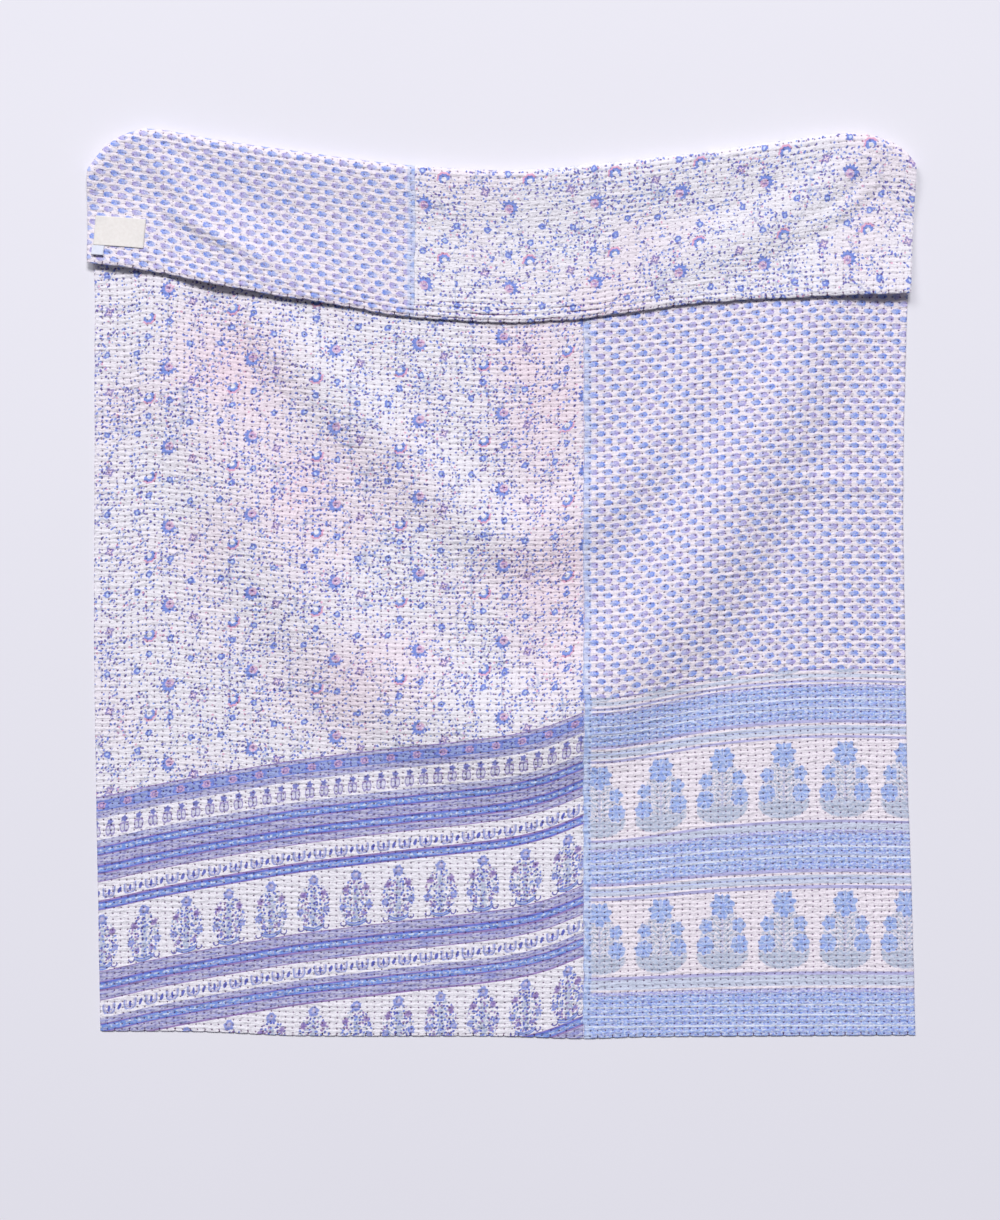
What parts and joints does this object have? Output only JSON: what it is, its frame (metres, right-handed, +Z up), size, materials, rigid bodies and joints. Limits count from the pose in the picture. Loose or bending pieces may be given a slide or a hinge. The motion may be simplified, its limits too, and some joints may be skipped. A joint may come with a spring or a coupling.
{
  "type": "kantha quilt",
  "caption": "Hand-stitched cotton kantha quilt of printed sari cloth, laid out with its top end turned over to show the reverse.",
  "frame": {"origin": "centre of the bounding box, on the surface that the quilt lies on", "axes": "+X across the quilt, to the right seen from above with the turned-over end up; +Y from the bottom hem to the turned-over end; +Z up"},
  "size_m": [1.4247, 1.5603, 0.031],
  "materials": {
    "floral_cloth": "soft washed cotton, matt, with a small flower print",
    "buti_cloth": "soft washed cotton, matt, with small blue and lavender butis",
    "label_tape": "cream cotton, blank",
    "care_tape": "white satin tape, blank"
  },
  "bodies": {
    "root": {"front_floral_panel": "floral_cloth", "front_buti_panel": "buti_cloth", "back_buti_panel": "buti_cloth", "back_floral_panel": "floral_cloth", "label": "label_tape", "care_tag": "care_tape"}
  },
  "joints": []
}
